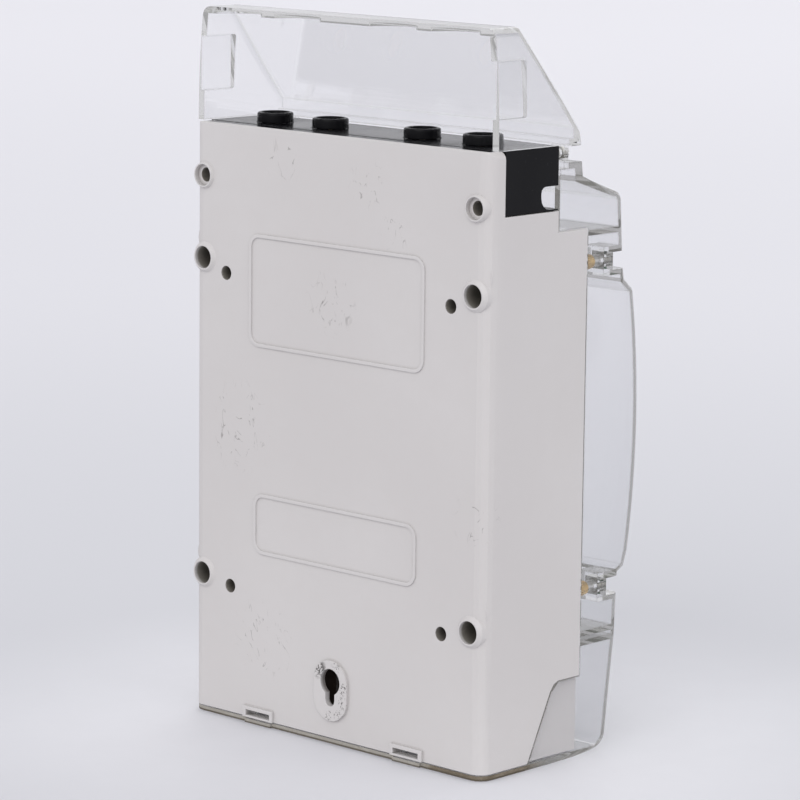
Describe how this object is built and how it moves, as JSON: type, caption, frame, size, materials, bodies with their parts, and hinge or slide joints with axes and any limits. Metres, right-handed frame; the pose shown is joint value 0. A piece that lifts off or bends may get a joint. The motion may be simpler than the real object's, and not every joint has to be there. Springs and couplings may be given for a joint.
{
  "type": "prepaid electricity meter",
  "caption": "Wall-mounted prepaid electricity meter: grey housing, clear bulged front cover and clear terminal cover over a black terminal block, with working screws, buttons and relay.",
  "frame": {"origin": "middle of the footprint, on the plane the meter rests on", "axes": "+Z toward the cable end, +Y out of the wall side, +X across the meter; in service the meter hangs the other way up, with the cable end down"},
  "size_m": [0.1338, 0.076, 0.2379],
  "materials": {
    "housing": "warm light grey moulded plastic, fine matte grain",
    "terminal_black": "black moulded plastic, glossy top face",
    "brass": "machined brass",
    "steel": "zinc plated steel",
    "clear": "clear polycarbonate with grey edges",
    "board": "green solder mask",
    "plate_white": "white moulded plastic",
    "display": "grey-green display glass",
    "button": "grey moulded button",
    "component_black": "black component plastic",
    "component_blue": "blue component coating",
    "cell": "yellow shrink sleeve",
    "light": "clear red light guide",
    "copper": "copper strip"
  },
  "bodies": {
    "housing": {"rear_housing": "housing", "terminal_block": "terminal_black", "cable_sleeve_1": "terminal_black", "cable_sleeve_2": "terminal_black", "cable_sleeve_3": "terminal_black", "cable_sleeve_4": "terminal_black", "terminal_bar_1": "brass", "terminal_bar_2": "brass", "terminal_bar_3": "brass", "terminal_bar_4": "brass", "brass_insert_1": "brass", "brass_insert_2": "brass", "brass_insert_3": "brass", "brass_insert_4": "brass", "board_screw_1": "steel", "board_screw_2": "steel", "board_screw_3": "steel", "board_screw_4": "steel", "optical_port": "steel", "radio_module": "steel", "main_board": "board", "front_plate": "plate_white", "display_frame": "plate_white", "display_glass": "display", "tact_switch_left": "component_black", "tact_switch_right": "component_black", "lid_switch": "component_black", "relay_case": "component_black", "supply_transformer": "component_black", "processor": "component_black", "antenna": "component_black", "current_transformer": "component_blue", "capacitor": "component_blue", "surge_varistor": "component_blue", "backup_cell": "cell", "pulse_light": "light", "line_link": "copper", "shunt": "copper", "neutral_link": "copper"},
    "terminal_screw_1": {"terminal_screw_1": "steel"},
    "terminal_screw_2": {"terminal_screw_2": "steel"},
    "terminal_screw_3": {"terminal_screw_3": "steel"},
    "terminal_screw_4": {"terminal_screw_4": "steel"},
    "terminal_screw_5": {"terminal_screw_5": "steel"},
    "terminal_screw_6": {"terminal_screw_6": "steel"},
    "terminal_screw_7": {"terminal_screw_7": "steel"},
    "terminal_screw_8": {"terminal_screw_8": "steel"},
    "cover_screw_1": {"cover_screw_1": "steel"},
    "cover_screw_2": {"cover_screw_2": "steel"},
    "cover_screw_3": {"cover_screw_3": "steel"},
    "cover_screw_4": {"cover_screw_4": "steel"},
    "seal_screw_left": {"seal_screw_left": "steel"},
    "seal_screw_right": {"seal_screw_right": "steel"},
    "relay_armature": {"relay_armature": "steel"},
    "front_cover": {"front_cover": "clear"},
    "terminal_cover": {"terminal_cover": "clear"},
    "lid_plunger": {"lid_plunger": "plate_white"},
    "push_button_left": {"push_button_left": "button"},
    "push_button_right": {"push_button_right": "button"},
    "relay_contact": {"relay_contact": "copper"}
  },
  "joints": [
    {"name": "front_cover_off", "type": "slide", "parent": "housing", "child": "front_cover", "axis": [0, -1, 0], "range_m": [0, 0.09]},
    {"name": "terminal_cover_off", "type": "slide", "parent": "housing", "child": "terminal_cover", "axis": [0, -1, 0], "range_m": [0, 0.06]},
    {"name": "cover_screw_1_turn", "type": "hinge", "parent": "front_cover", "child": "cover_screw_1", "pos_m": [0.0603, -0.0229, 0.0543], "axis": [0, -1, 0], "continuous": true},
    {"name": "cover_screw_2_turn", "type": "hinge", "parent": "front_cover", "child": "cover_screw_2", "pos_m": [0.0603, -0.0229, 0.1612], "axis": [0, -1, 0], "continuous": true},
    {"name": "cover_screw_3_turn", "type": "hinge", "parent": "front_cover", "child": "cover_screw_3", "pos_m": [-0.0603, -0.0229, 0.0543], "axis": [0, -1, 0], "continuous": true},
    {"name": "cover_screw_4_turn", "type": "hinge", "parent": "front_cover", "child": "cover_screw_4", "pos_m": [-0.0603, -0.0229, 0.1612], "axis": [0, -1, 0], "continuous": true},
    {"name": "seal_screw_left_turn", "type": "hinge", "parent": "terminal_cover", "child": "seal_screw_left", "pos_m": [0.06, -0.003, 0.197], "axis": [0, -1, 0], "continuous": true},
    {"name": "seal_screw_right_turn", "type": "hinge", "parent": "terminal_cover", "child": "seal_screw_right", "pos_m": [-0.06, -0.003, 0.197], "axis": [0, -1, 0], "continuous": true},
    {"name": "terminal_screw_1_turn", "type": "hinge", "parent": "housing", "child": "terminal_screw_1", "pos_m": [0.046, 0.0059, 0.184], "axis": [0, -1, 0], "continuous": true},
    {"name": "terminal_screw_2_turn", "type": "hinge", "parent": "housing", "child": "terminal_screw_2", "pos_m": [0.046, 0.0059, 0.1962], "axis": [0, -1, 0], "continuous": true},
    {"name": "terminal_screw_3_turn", "type": "hinge", "parent": "housing", "child": "terminal_screw_3", "pos_m": [0.0205, 0.0059, 0.184], "axis": [0, -1, 0], "continuous": true},
    {"name": "terminal_screw_4_turn", "type": "hinge", "parent": "housing", "child": "terminal_screw_4", "pos_m": [0.0205, 0.0059, 0.1962], "axis": [0, -1, 0], "continuous": true},
    {"name": "terminal_screw_5_turn", "type": "hinge", "parent": "housing", "child": "terminal_screw_5", "pos_m": [-0.0205, 0.0059, 0.184], "axis": [0, -1, 0], "continuous": true},
    {"name": "terminal_screw_6_turn", "type": "hinge", "parent": "housing", "child": "terminal_screw_6", "pos_m": [-0.0205, 0.0059, 0.1962], "axis": [0, -1, 0], "continuous": true},
    {"name": "terminal_screw_7_turn", "type": "hinge", "parent": "housing", "child": "terminal_screw_7", "pos_m": [-0.046, 0.0059, 0.184], "axis": [0, -1, 0], "continuous": true},
    {"name": "terminal_screw_8_turn", "type": "hinge", "parent": "housing", "child": "terminal_screw_8", "pos_m": [-0.046, 0.0059, 0.1962], "axis": [0, -1, 0], "continuous": true},
    {"name": "push_button_left_press", "type": "slide", "parent": "housing", "child": "push_button_left", "axis": [0, 1, 0], "range_m": [0, 0.0012], "stiffness_N_per_m": 1500},
    {"name": "push_button_right_press", "type": "slide", "parent": "housing", "child": "push_button_right", "axis": [0, 1, 0], "range_m": [0, 0.0012], "stiffness_N_per_m": 1500},
    {"name": "lid_plunger_spring", "type": "slide", "parent": "housing", "child": "lid_plunger", "axis": [0, -1, 0], "range_m": [0, 0.002]},
    {"name": "relay_armature_swing", "type": "hinge", "parent": "housing", "child": "relay_armature", "pos_m": [-0.031, 0.0199, 0.143], "axis": [0, 1, 0], "range_deg": [-4, 4]},
    {"name": "relay_contact_slide", "type": "slide", "parent": "housing", "child": "relay_contact", "axis": [1, 0, 0], "range_m": [-0.001, 0.001]}
  ],
  "couplings": [
    {"joint": "lid_plunger_spring", "follows": "front_cover_off", "ratio": 0.022},
    {"joint": "relay_contact_slide", "follows": "relay_armature_swing", "m_per_rad": 0.0136}
  ]
}
